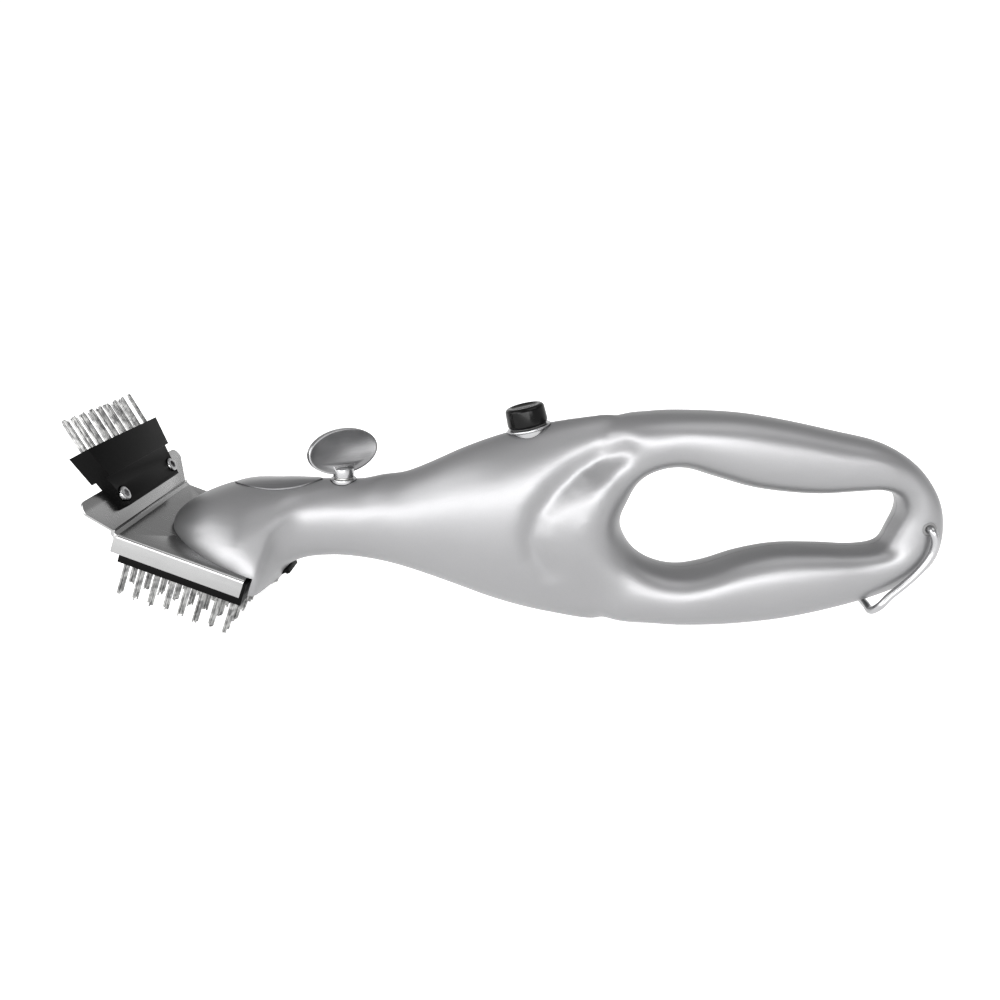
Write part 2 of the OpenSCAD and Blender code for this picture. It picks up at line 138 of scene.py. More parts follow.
# the fill cap, and the seat and the hole under it
FILL_X = 5.8
FILL_Z = 91.7
CAP_TILT = 14.5
CAP_RADIUS = 9.2
CAP_HEIGHT = 9
FILL_BORE = 6.6
FILL_SEAT_RADIUS = 10.25
FILL_SEAT_DEPTH = 0.9
FILL_HOLE_RADIUS = 8.7

# the hanging ring, and the holes for its bushes
RING_X = 183.4
RING_Z = 55.6
WIRE_RADIUS = 1.75
LEG_SIDE = 15
BUSH_HOLE_RADIUS = 3.1

# the plate's back edge, at the height that lets the lowest tips touch the floor
HEAD_SLOPE = 19
HEAD_X = -113.5
HEAD_Z = TIP_DEPTH * math.cos(math.radians(HEAD_SLOPE)) - (
    (ROW_START - TUFT_RADIUS) * math.sin(math.radians(HEAD_SLOPE))
)

# the handle's walls, and the number of points in each of its sections
WALL = 2.6
SECTION_SIDES = 40

# handle sections: (outer x, outer z), (inner x, inner z), half thickness
HOOD = [
    ((-156.8, 44.2), (-156.8, 41.6), 4),
    ((-154, 48), (-154, 35.6), 14),
    ((-149, 51.6), (-149, 28.4), 21),
    ((-142, 55.4), (-142, 20), 27.4),
    ((-134, 58.6), (-134, 11.4), 32),
    ((-126, 60.8), (-126, 3.6), 34.8),
    ((-118, 61.9), (-118, -2.7), 36),
]
NECK = [
    ((-104, 62.8), (-104, 23.1), 24),
    ((-95, 63.3), (-95, 26.2), 17.5),
    ((-82, 63.9), (-82, 27.5), 14.5),
    ((-70, 64.4), (-70, 27), 14.5),
    ((-60, 66.9), (-60, 25.6), 15),
    ((-50, 68.6), (-50, 23.4), 16),
    ((-38, 73.8), (-38, 19.8), 17.5),
    ((-24, 80.8), (-24, 15.2), 19.5),
    ((-8, 87.4), (-8, 9.8), 21.5),
    ((8, 92.6), (8, 5.4), 21),
    ((22, 95.9), (22, 2.7), 18.5),
    ((34, 98.1), (34, 0.8), 17),
    ((43, 99.7), (43, 0.4), 14.5),
]
LOOP = [
    ((24, 50), (49, 50), 14),
    ((28, 71), (52, 60), 15),
    ((42, 96), (56, 69), 15.5),
    ((59, 100.7), (64, 75), 17),
    ((78, 101.8), (75, 77), 16.5),
    ((99, 101.5), (89, 73.5), 16.5),
    ((120, 98.9), (108, 68.9), 16),
    ((142, 94.9), (133, 67.3), 15),
    ((160, 91.3), (152, 69.2), 14),
    ((173, 85.2), (163, 70.3), 13),
    ((183, 76.3), (170.5, 67.5), 12),
    ((190.5, 64), (172.6, 61), 12),
    ((193.3, 49), (169.6, 52), 12),
    ((190.5, 36.5), (167, 45.3), 12.3),
    ((182, 28.4), (161, 43), 12.8),
    ((168, 20.6), (152, 42.3), 13.5),
    ((148, 13.2), (141, 42.4), 15),
    ((126, 7), (121, 41.3), 16),
    ((104, 3.4), (104, 37), 16.5),
    ((84, 1.9), (90, 31), 17),
    ((66, 1.9), (77, 28.3), 17),
    ((43, 4), (64, 31.3), 17),
    ((27, 26), (54.5, 38.5), 14.5),
]
# the raised thumb pad between the belly and the finger loop
PAD = [
    ((56, 88), (60, 80), 8),
    ((39, 82), (54, 70), 15.5),
    ((23, 70), (51, 60), 19.4),
    ((13, 50), (48.6, 50), 20.6),
    ((15, 35), (51, 41.5), 19.6),
    ((28, 21), (57, 33.5), 17.5),
    ((44, 12), (64, 31), 16.5),
]
# the valley around the pad's edge on both sides, its width and depth, and where it fades out
CREASE = [(47, 85), (40, 82.5), (29, 76), (19.5, 67), (12.5, 57), (9.6, 46), (11.5, 36), (17, 28)]
CREASE_WIDTH = 5.5
CREASE_DEPTH = 3
CREASE_LOW = 20
CREASE_FADE = 25

# where the handle's skin is smoothed most, with the width over which that fades
LOOP_FRONT_X = 34
LOOP_FRONT_Z = 50
LOOP_FRONT_REACH = 52
LOOP_FRONT_FADE = 16
THROAT_X = -103
THROAT_REACH = 18
THROAT_FADE = 8

# this near the seam the skin is smoothed less and has no valley, so the outline keeps its place
SEAM_REACH = 3
SEAM_FADE = 7

# the ring's legs below its bushes, and its cross bar, seen from the side
LEG = [(185.3, 51), (184.8, 45), (181.3, 38), (175.8, 31), (169.8, 24.5), (166.2, 19.6)]
BAR = (164.2, 15.6)


def turned(angle, axis):
    """A turn of so many degrees round an axis."""
    return Matrix.Rotation(math.radians(angle), 4, axis)


def moved(x, y, z):
    """A move of so many millimetres."""
    return Matrix.Translation(Vector((x, y, z)) * MM)


# the axes that the head, its front flange, the fill cap and the valve are built on
ON_HEAD = moved(HEAD_X, 0, HEAD_Z) @ turned(HEAD_SLOPE, "Y")
ON_FRONT = ON_HEAD @ moved(-PLATE_LENGTH, 0, 0) @ turned(90 - FLANGE_LEAN - HEAD_SLOPE, "Y")
ON_FILL = moved(FILL_X, 0, FILL_Z) @ turned(-CAP_TILT, "Y")
ON_VALVE = moved(VALVE_X, 0, 0) @ turned(PADDLE_TURN, "Z")


# ---- finishes ----


class Value:
    """A shader socket on which Python arithmetic adds Math nodes."""

    def __init__(self, finish, socket):
        self.finish = finish
        self.socket = socket

    def _math(self, operation, *terms):
        return self.finish.node("ShaderNodeMath", {"operation": operation}, dict(enumerate(terms)))

    def __add__(self, other):
        return self._math("ADD", self, other)

    def __radd__(self, other):
        return self._math("ADD", other, self)

    def __rmul__(self, other):
        return self._math("MULTIPLY", other, self)


class Finish:
    """One material: a Principled shader whose sockets are fed by patterns."""

    def __init__(self, name, **constants):
        self.material = bpy.data.materials.new(name)
        self.material.use_nodes = True
        self.tree = self.material.node_tree
        self.shader = self.tree.nodes["Principled BSDF"]
        for socket, value in constants.items():
            self.shader.inputs[socket.replace("_", " ")].default_value = value
        self.place = self.node("ShaderNodeTexCoord", out="Object")

    def node(self, kind, settings=None, inputs=None, out=0):
        node = self.tree.nodes.new(kind)
        for key, value in (settings or {}).items():
            if key == "stops":
                while len(node.color_ramp.elements) < len(value):
                    node.color_ramp.elements.new(0.5)
                for element, (position, shade) in zip(node.color_ramp.elements, value):
                    element.position = position
                    element.color = (shade, shade, shade, 1)
            else:
                setattr(node, key, value)
        for key, value in (inputs or {}).items():
            if isinstance(value, Value):
                self.tree.links.new(value.socket, node.inputs[key])
            else:
                node.inputs[key].default_value = value
        return Value(self, node.outputs[out])

    def noise(self, scale, detail=3, place=None, roughness=0.5):
        inputs = {"Vector": place or self.place, "Scale": scale, "Detail": detail, "Roughness": roughness}
        return self.node("ShaderNodeTexNoise", {}, inputs)

    def stretched(self, scale, turn=(0, 0, 0)):
        rotation = [math.radians(angle) for angle in turn]
        inputs = {"Vector": self.place, "Rotation": rotation, "Scale": scale}
        return self.node("ShaderNodeMapping", {"vector_type": "TEXTURE"}, inputs)

    def ramp(self, value, *stops):
        return self.node("ShaderNodeValToRGB", {"stops": stops}, {"Fac": value})

    def blend(self, factor, first, second):
        inputs = {0: factor, 6: (*first, 1), 7: (*second, 1)}
        return self.node("ShaderNodeMix", {"data_type": "RGBA"}, inputs, out=2)

    def feed(self, **sockets):
        for name, value in sockets.items():
            self.tree.links.new(value.socket, self.shader.inputs[name.replace("_", " ")])

    def bump(self, height, depth, strength=1.0):
        inputs = {"Height": height, "Distance": depth, "Strength": strength}
        self.feed(Normal=self.node("ShaderNodeBump", {}, inputs))


def silver_paint(look):
    """Satin silver paint on moulded plastic: fine flake, soft mottling and a thin clear coat."""
    colour = look.paint_colour
    finish = Finish("silver_paint", Metallic=0.7, Coat_Weight=0.1, Coat_Roughness=0.35)
    flake = finish.noise(4200, 2)
    cloud = finish.noise(38, 3)
    pale = [min(1, 1.1 * part) for part in colour]
    deep = [0.86 * part for part in colour]
    finish.feed(Base_Color=finish.blend(0.75 * flake + 0.25 * cloud, deep, pale))
    finish.feed(Roughness=0.33 + 0.08 * finish.noise(1500, 2) + 0.05 * cloud)
    finish.bump(flake + 0.5 * finish.noise(900, 2), 0.00003, 0.5)
    return finish.material


def badge_metal(look):
    """A dark satin plate with a fine grain along the handle."""
    finish = Finish("badge_metal", Metallic=0.8, Coat_Weight=0.4, Coat_Roughness=0.15)
    grain = finish.noise(1, 3, finish.stretched((0.02, 0.0005, 0.002)))
    finish.feed(Base_Color=finish.blend(grain, (0.1, 0.1, 0.105), (0.2, 0.2, 0.205)))
    finish.feed(Roughness=0.26 + 0.14 * grain)
    finish.bump(grain, 0.00002, 0.5)
    return finish.material


def brushed_sheet(look):
    """Brushed sheet steel: long fine scratches down the plate, with faint smears."""
    colour = look.steel_colour
    finish = Finish("brushed_sheet", Metallic=1.0)
    lines = finish.noise(1, 4, finish.stretched((0.03, 0.00035, 0.004), (0, HEAD_SLOPE, 0)), 0.7)
    smear = finish.noise(55, 4)
    pale = [1.12 * part for part in colour]
    deep = [0.8 * part for part in colour]
    finish.feed(Base_Color=finish.blend(0.6 * lines + 0.4 * smear, deep, pale))
    finish.feed(Roughness=0.16 + 0.1 * lines + 0.08 * smear)
    finish.bump(lines, 0.00003, 0.5)
    return finish.material


def bright_plate(look):
    """Polished plated metal with faint wiping marks."""
    finish = Finish("bright_plate", Metallic=1.0)
    wipe = finish.noise(1, 3, finish.stretched((0.012, 0.004, 0.0016), (0, 0, 35)))
    smear = finish.noise(120, 4)
    finish.feed(Base_Color=finish.blend(smear, (0.27, 0.27, 0.275), (0.38, 0.38, 0.385)))
    finish.feed(Roughness=0.16 + 0.08 * wipe + 0.06 * smear)
    finish.bump(finish.noise(700, 2), 0.00001, 0.4)
    return finish.material


def zinc_plate(look):
    """Plain zinc plate: pale crystals with a dull sheen."""
    finish = Finish("zinc_plate", Metallic=0.95)
    crystal = finish.node("ShaderNodeTexVoronoi", {}, {"Vector": finish.place, "Scale": 900.0})
    dull = finish.noise(300, 3)
    tone = 0.6 * crystal + 0.4 * dull
    finish.feed(Base_Color=finish.blend(tone, (0.42, 0.42, 0.41), (0.66, 0.66, 0.64)))
    finish.feed(Roughness=0.34 + 0.18 * dull)
    finish.bump(dull, 0.00003, 0.5)
    return finish.material


def bristle_wire(look):
    """Drawn steel wire: each strand a little lighter or darker."""
    finish = Finish("bristle_wire", Metallic=1.0)
    strand = finish.noise(420, 1)
    tone = finish.ramp(strand, (0.35, 0.0), (0.65, 1.0))
    finish.feed(Base_Color=finish.blend(tone, (0.13, 0.13, 0.13), (0.34, 0.34, 0.335)))
    finish.feed(Roughness=0.28 + 0.16 * finish.noise(1600, 2))
    finish.bump(finish.noise(1200, 1), 0.00002, 0.3)
    return finish.material


def moulded_black(look):
    """Black moulded plastic: a fine spark grain, worn slightly glossier in patches."""
    colour = look.plastic_colour
    finish = Finish("moulded_black", Specular_IOR_Level=0.04)
    patch = finish.noise(70, 4)
    grain = finish.noise(2600, 2)
    worn = [2.2 * part for part in colour]
    finish.feed(Base_Color=finish.blend(patch, colour, worn))
    finish.feed(Roughness=0.3 + 0.14 * patch + 0.05 * grain)
    finish.bump(grain + 0.6 * finish.noise(420, 3), 0.00006, 0.5)
    return finish.material


def gloss_black(look):
    """Gloss black plastic with hairline rubbing."""
    finish = Finish("gloss_black", Specular_IOR_Level=0.1, Coat_Weight=0.06, Coat_Roughness=0.1)
    rub = finish.noise(1, 3, finish.stretched((0.008, 0.0007, 0.004)))
    patch = finish.noise(150, 3)
    finish.feed(Base_Color=finish.blend(patch, (0.001, 0.001, 0.001), (0.003, 0.003, 0.003)))
    finish.feed(Roughness=0.14 + 0.12 * rub)
    finish.bump(rub + patch, 0.00002, 0.5)
    return finish.material


def valve_plastic(look):
    """Dark grey engineering plastic."""
    finish = Finish("valve_plastic")
    patch = finish.noise(200, 3)
    finish.feed(Base_Color=finish.blend(patch, (0.1, 0.1, 0.1), (0.17, 0.17, 0.17)))
    finish.feed(Roughness=0.45 + 0.15 * patch)
    finish.bump(finish.noise(1800, 2), 0.00004, 0.5)
    return finish.material


def seal_rubber(look):
    """Matte black rubber with a dusty bloom."""
    finish = Finish("seal_rubber")
    bloom = finish.noise(260, 4)
    finish.feed(Base_Color=finish.blend(bloom, (0.012, 0.012, 0.012), (0.05, 0.05, 0.05)))
    finish.feed(Roughness=0.7 + 0.2 * bloom)
    finish.bump(finish.noise(1500, 3), 0.00005, 0.5)
    return finish.material


def milky_tube(look):
    """Milky plastic tube."""
    finish = Finish("milky_tube", Subsurface_Weight=0.2)
    cloud = finish.noise(180, 3)
    finish.feed(Base_Color=finish.blend(cloud, (0.55, 0.55, 0.52), (0.72, 0.72, 0.7)))
    finish.feed(Roughness=0.35 + 0.15 * cloud)
    finish.bump(cloud, 0.00004, 0.5)
    return finish.material


def pale_floor(look):
    """A plain matte pale floor."""
    finish = Finish("pale_floor", Emission_Color=(1, 1, 1, 1), Emission_Strength=0.7)
    cloud = finish.noise(1.5, 2)
    finish.feed(Base_Color=finish.blend(cloud, (0.93, 0.93, 0.93), (0.96, 0.96, 0.96)))
    finish.feed(Roughness=0.75 + 0.1 * cloud)
    return finish.material


FINISHES = {
    "silver_paint": silver_paint,
    "badge_plate": badge_metal,
    "head_steel": brushed_sheet,
    "bright_metal": bright_plate,
    "zinc_steel": zinc_plate,
    "bristle_wire": bristle_wire,
    "brush_black": moulded_black,
    "cap_black": gloss_black,
    "valve_plastic": valve_plastic,
    "seal_rubber": seal_rubber,
    "tube_plastic": milky_tube,
    "floor": pale_floor,
}
made_finishes = {}


def finish_for(slot):
    """The material of a slot, made when it is first asked for."""
    if slot not in made_finishes:
        made_finishes[slot] = FINISHES[slot](bpy.context.scene.brush_look)
    return made_finishes[slot]


# ---- modelling helpers ----


def alone(piece):
    """Only this piece is selected and active."""
    bpy.ops.object.select_all(action="DESELECT")
    piece.select_set(True)
    bpy.context.view_layer.objects.active = piece
    return piece


@contextmanager
def editing(piece, mode="VERT"):
    """Edit mode on one piece, with nothing selected at first."""
    alone(piece)
    bpy.ops.object.mode_set(mode="EDIT")
    bpy.ops.mesh.select_mode(type=mode)
    bpy.ops.mesh.select_all(action="DESELECT")
    yield
    bpy.ops.object.mode_set(mode="OBJECT")


def pick(piece, kind, test):
    """Selects the vertices, edges or faces of the piece in edit mode that pass the test."""
    mesh = bmesh.from_edit_mesh(piece.data)
    bpy.ops.mesh.select_all(action="DESELECT")
    for element in getattr(mesh, kind):
        if test(element):
            element.select_set(True)
    mesh.select_flush_mode()
    bmesh.update_edit_mesh(piece.data)


def middle(edge):
    """The point halfway along an edge."""
    return (edge.verts[0].co + edge.verts[1].co) / 2


def span(edge):
    """How far an edge reaches along each axis."""
    first, second = (vertex.co for vertex in edge.verts)
    return Vector([abs(a - b) for a, b in zip(first, second)])


def apply_modifier(piece, kind, **settings):
    """Adds a modifier to a piece and applies it."""
    alone(piece)
    modifier = piece.modifiers.new(kind.lower(), kind)
    for key, value in settings.items():
        setattr(modifier, key, value)
    bpy.ops.object.modifier_apply(modifier=modifier.name)
    return piece


def cut(piece, *tools, operation="DIFFERENCE"):
    """A boolean with one or more tools, which are used up."""
    for tool in tools:
        apply_modifier(piece, "BOOLEAN", object=tool, operation=operation, solver="MANIFOLD")
        bpy.data.objects.remove(tool)
    return piece


def soften(piece, width, segments=2, angle=35):
    """Rounds the edges that turn by more than the angle, over a width in millimetres."""
    return apply_modifier(
        piece,
        "BEVEL",
        width=width * MM,
        segments=segments,
        limit_method="ANGLE",
        angle_limit=math.radians(angle),
        miter_outer="MITER_ARC",
    )


def place(piece, matrix):
    """Moves a piece built at the origin to its place, and applies the move."""
    alone(piece)
    piece.matrix_world = matrix @ piece.matrix_world
    bpy.ops.object.transform_apply(location=True, rotation=True, scale=True)
    return piece


def copy_of(piece):
    """A second piece with its own mesh."""
    double = piece.copy()
    double.data = piece.data.copy()
    bpy.context.scene.collection.objects.link(double)
    return double


def join(pieces):
    """Several pieces as one."""
    bpy.ops.object.select_all(action="DESELECT")
    for piece in pieces:
        piece.select_set(True)
    bpy.context.view_layer.objects.active = pieces[0]
    bpy.ops.object.join()
    return bpy.context.view_layer.objects.active


def block(low, high):
    """A box between two corners, in millimetres."""
    bpy.ops.object.select_all(action="DESELECT")
    size = [b - a for a, b in zip(low, high)]
    centre = [(a + b) / 2 * MM for a, b in zip(low, high)]
    bpy.ops.mesh.primitive_cube_add(size=MM, location=centre)
    piece = bpy.context.object
    piece.scale = size
    return place(piece, Matrix())


def drum(radius, low, high, at=(0, 0), sides=64):
    """An upright cylinder, in millimetres."""
    bpy.ops.object.select_all(action="DESELECT")
    bpy.ops.mesh.primitive_cylinder_add(
        vertices=sides,
        radius=radius * MM,
        depth=(high - low) * MM,
        location=(at[0] * MM, at[1] * MM, (low + high) / 2 * MM),
    )
    return place(bpy.context.object, Matrix())


def keep(piece, name, body, slot, *nodes, smooth=35):
    """Names, shades and finishes a piece, and ties it to the frame."""
    alone(piece)
    piece.name = name
    piece.data.name = name
    bpy.ops.object.shade_smooth_by_angle(angle=math.radians(smooth))
    piece.data.materials.clear()
    piece.data.materials.append(finish_for(slot))
    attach(piece, body)
    if nodes:
        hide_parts(*nodes)
    return piece


def slot_of(node):
    """The material slot that the record gives a frame node."""
    return next(row["material_slot"] for row in frame["record"]["subparts"] if row["node"] == node)


def softened_node(node, width, segments=2, trim=None):
    """A frame node's shape, trimmed by a tool and with its hard edges rounded, in the node's place."""
    # edges shorter than this are merged away, because they would hold the rounding back
    crumb = 2e-5
    source = frame["nodes"][node]
    body = source["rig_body"]
    piece = copy_of(source)
    piece.parent = None
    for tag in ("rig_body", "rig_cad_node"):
        del piece[tag]
    with editing(piece):
        bpy.ops.mesh.select_all(action="SELECT")
        bpy.ops.mesh.remove_doubles(threshold=SAME_POINT)
    if trim:
        cut(piece, trim)
    with editing(piece):
        bpy.ops.mesh.select_all(action="SELECT")
        bpy.ops.mesh.remove_doubles(threshold=crumb)
        bpy.ops.mesh.dissolve_limited(angle_limit=math.radians(1))
    soften(piece, width, segments)
    return keep(piece, node + "_piece", body, slot_of(node), node)


# ---- the handle ----


def curve_weights(t):
    """What four points in a row weigh at t, from 0 to 1, on a smooth curve between the middle two."""
    return (
        (-t + 2 * t**2 - t**3) / 2,
        (2 - 5 * t**2 + 3 * t**3) / 2,
        (t + 4 * t**2 - 3 * t**3) / 2,
        (t**3 - t**2) / 2,
    )


def between(rows, steps, closed=False):
    """More sections between the given ones, on a smooth curve through them."""
    count = len(rows)
    flat = [Vector((*row[0], *row[1])) for row in rows]
    result = []
    for i in range(count if closed else count - 1):
        if closed:
            ends = [(i + k) % count for k in (-1, 0, 1, 2)]
        else:
            ends = [max(0, min(count - 1, i + k)) for k in (-1, 0, 1, 2)]
        for step in range(steps):
            weights = curve_weights(step / steps)
            point = sum((w * flat[e] for w, e in zip(weights, ends)), Vector((0, 0, 0, 0)))
            half = sum(w * rows[e][2] for w, e in zip(weights, ends))
            result.append(((point[0], point[1]), (point[2], point[3]), half))
    if not closed:
        result.append(rows[-1])
    return result


def section(row, fullness=2.0):
    """One closed edge loop across the handle, as a circle drawn out to the section's size."""
    outer, inner, half = row
    across = Vector((outer[0] - inner[0], 0, outer[1] - inner[1]))
    centre = Vector(((outer[0] + inner[0]) / 2, 0, (outer[1] + inner[1]) / 2)) * MM
    tilt = -math.atan2(across.z, across.x)
    bpy.ops.mesh.primitive_circle_add(
        vertices=SECTION_SIDES, radius=1, location=centre, rotation=(0, tilt, 0)
    )
    ring = bpy.context.object
    for vertex in ring.data.vertices:
        swell = (abs(vertex.co.x) ** fullness + abs(vertex.co.y) ** fullness) ** (-1 / fullness)
        vertex.co *= swell
    ring.scale = (across.length / 2 * MM, half * MM, 1)
    bpy.ops.object.transform_apply(location=True, rotation=True, scale=True)
    return ring


def loft(rows, closed=False, fullness=2.0):
    """A skin over a row of sections, with flat ends unless it closes on itself."""
    bpy.ops.object.select_all(action="DESELECT")
    piece = join([section(row, fullness) for row in rows])
    order = [vertex.index // SECTION_SIDES for vertex in piece.data.vertices]
    count = len(rows)
    pairs = [(i, (i + 1) % count) for i in range(count if closed else count - 1)]
    with editing(piece, "EDGE"):
        for pair in pairs:
            pick(piece, "edges", lambda edge: is_rim(edge, order, pair))
            bpy.ops.mesh.bridge_edge_loops()
        for end in () if closed else (0, count - 1):
            pick(piece, "edges", lambda edge: is_rim(edge, order, (end, end)))
            bpy.ops.mesh.edge_face_add()
        bpy.ops.mesh.select_all(action="SELECT")
        bpy.ops.mesh.normals_make_consistent(inside=False)
    return piece


def is_rim(edge, order, pair):
    """True for an edge that lies in one of the two named sections."""
    first, second = (order[vertex.index] for vertex in edge.verts)
    return first == second and first in pair


def heel():
    """The mass behind the head, from the hood's last section to the neck and down to the lip."""
    bpy.ops.object.select_all(action="DESELECT")
    lip = block((LIP_GAP, -LIP_HALF, -SIDE_DEPTH), (LIP_GAP + LIP_THICK, LIP_HALF, 0))
    piece = join([place(lip, ON_HEAD), section(HOOD[-1]), section(NECK[0])])
    with editing(piece):
        bpy.ops.mesh.select_all(action="SELECT")
        bpy.ops.mesh.convex_hull()
    return piece


def smooth_body(look):
    """The whole handle as one smooth skin, before it is opened and split."""
    parts = [
        loft(between(HOOD, 4)),
        heel(),
        loft(between(NECK, 5), fullness=2.15),
        loft(between(LOOP, 4, closed=True), closed=True, fullness=2.5),
        loft(between(PAD, 5)),
    ]
    body = join(parts)
    apply_modifier(body, "REMESH", mode="VOXEL", voxel_size=look.skin_voxel, adaptivity=0)
    near_loop = body.vertex_groups.new(name="near_loop")
    at_throat = body.vertex_groups.new(name="at_throat")
    at_crease = body.vertex_groups.new(name="at_crease")
    for vertex in body.data.vertices:
        x, y, z = vertex.co / MM
        off_seam = clamped((abs(y) - SEAM_REACH) / SEAM_FADE)
        away = math.hypot(x - LOOP_FRONT_X, 0.6 * (z - LOOP_FRONT_Z))
        blend = clamped((LOOP_FRONT_REACH - away) / LOOP_FRONT_FADE) * (0.25 + 0.75 * off_seam)
        near_loop.add([vertex.index], blend, "REPLACE")
        pinch = clamped((THROAT_REACH - abs(x - THROAT_X)) / THROAT_FADE)
        at_throat.add([vertex.index], pinch, "REPLACE")
        across = math.exp(-((crease_distance(x, z) / CREASE_WIDTH) ** 2))
        shallow_below = clamped(0.3 + (z - CREASE_LOW) / CREASE_FADE)
        at_crease.add([vertex.index], across * shallow_below * off_seam, "REPLACE")
    apply_modifier(body, "SMOOTH", factor=0.5, iterations=10)
    apply_modifier(body, "SMOOTH", factor=0.5, iterations=90, vertex_group="near_loop")
    apply_modifier(body, "SMOOTH", factor=0.5, iterations=30, vertex_group="at_throat")
    apply_modifier(body, "DISPLACE", strength=-CREASE_DEPTH * MM, mid_level=0, vertex_group="at_crease")
    apply_modifier(body, "SMOOTH", factor=0.5, iterations=10)
    return body


def clamped(value):
    """A value kept between 0 and 1."""
    return max(0, min(1, value))


def crease_distance(x, z):
    """How far a point of the side view lies from the crease, in millimetres."""
    spot = Vector((x, z))
    nearest = math.inf
    for first, second in zip(CREASE, CREASE[1:]):
        start, way = Vector(first), Vector(second) - Vector(first)
        along = clamped((spot - start).dot(way) / way.length_squared)
        nearest = min(nearest, (spot - start - along * way).length)
    return nearest


def swollen(body, by):
    """A copy of a body with its skin moved out, or in if negative, by so many millimetres."""
    return apply_modifier(copy_of(body), "DISPLACE", strength=by * MM, mid_level=0)


def almond(length, half, low, high):
    """An upright prism whose outline is where two circles cross."""
    radius = (length**2 / 4 + half**2) / (2 * half)
    near = drum(radius, low, high, (BADGE_X, radius - half), 192)
    far = drum(radius, low, high, (BADGE_X, half - radius), 192)
    return cut(near, far, operation="INTERSECT")


def handle_openings():
    """The tools that open the handle for everything that is let into it."""
    reach, clearance, behind_lip = 100, 0.05, 16
    head = [
        block((-reach, -reach, -reach), (LIP_GAP, reach, clearance)),
        block((-reach, -reach, -reach), (behind_lip, reach, -SIDE_DEPTH)),
    ]
    valve_axis = moved(VALVE_X, 0, 0)
    ring_axis = moved(RING_X, 0, RING_Z) @ turned(90, "X")
    bores = (
        (GLAND_SEAT_RADIUS, GLAND_SEAT_Z, 80, valve_axis),
        (STEM_HOLE_RADIUS, 50, 64, valve_axis),
        (FILL_SEAT_RADIUS, -FILL_SEAT_DEPTH, 12, ON_FILL),
        (FILL_HOLE_RADIUS, -14, 1, ON_FILL),
        (BUSH_HOLE_RADIUS, -30, 30, ring_axis),
    )
    tools = [place(tool, ON_HEAD) for tool in head]
    tools += [place(drum(radius, low, high), axis) for radius, low, high, axis in bores]
    return tools


# ---- tufts ----


def bundle(rows, look, lean):
    """Tufts of thin steel wires: rows hold (root, direction, length, radius) in millimetres."""
    shuffle = random.Random(look.seed)
    wire_sides, tip_taper, next_turn = 6, 0.75, 2.4
    bpy.ops.object.select_all(action="DESELECT")
    bpy.ops.mesh.primitive_cylinder_add(vertices=wire_sides, radius=look.wire_radius, depth=1)
    wire = bpy.context.object
    with editing(wire):
        pick(wire, "faces", lambda face: face.normal.z > 0.9)
        bpy.ops.transform.resize(value=(tip_taper, tip_taper, 1))
    wire.data.transform(Matrix.Translation((0, 0, 0.5)))
    strands = []
    for root, direction, length, radius in rows:
        turn = Vector(direction).to_track_quat("Z", "Y").to_matrix().to_4x4()
        for index in range(look.wires_in_tuft):
            spread = radius * math.sqrt(index / look.wires_in_tuft)
            around = index * next_turn + shuffle.uniform(-0.3, 0.3)
            foot = (spread * math.cos(around), spread * math.sin(around), 0)
            splay = shuffle.uniform(0.3, 1.0) * lean
            reach = length * shuffle.uniform(0.86, 1.0)
            tilt = Matrix.Rotation(math.radians(splay), 4, Vector((-foot[1], foot[0], 0.001)))
            strand = copy_of(wire)
            strand.data.transform(
                moved(*root) @ turn @ moved(*foot) @ tilt @ Matrix.Diagonal((1, 1, reach * MM, 1))
            )
            strands.append(strand)
    bpy.data.objects.remove(wire)
    return join(strands)


# ---- settings ----


class BrushLook(bpy.types.PropertyGroup):
    """What a user would change about the looks."""

    paint_colour: FloatVectorProperty(
        name="Paint", description="Colour of the handle's silver paint", subtype="COLOR",
        default=(0.215, 0.215, 0.219), min=0, max=1,
    )
    steel_colour: FloatVectorProperty(
        name="Sheet steel", description="Colour of the folded head plate", subtype="COLOR",
        default=(0.31, 0.31, 0.31), min=0, max=1,
    )
    plastic_colour: FloatVectorProperty(
        name="Black plastic", description="Colour of the two brush holders", subtype="COLOR",
        default=(0.001, 0.001, 0.001), min=0, max=1,
    )
    skin_voxel: FloatProperty(
        name="Skin detail", description="Mesh size of the handle's skin",
        default=0.0012, min=0.0008, max=0.003, unit="LENGTH",
    )
    wire_radius: FloatProperty(
        name="Wire radius", description="Radius of one bristle wire",
        default=0.0005, min=0.0001, max=0.0006, unit="LENGTH",
    )
    wires_in_tuft: IntProperty(
        name="Wires in a tuft", description="Number of wires in one tuft", default=12, min=3, max=20,
    )
    seed: IntProperty(name="Seed", description="Seed of the wires' spread", default=4, min=0)


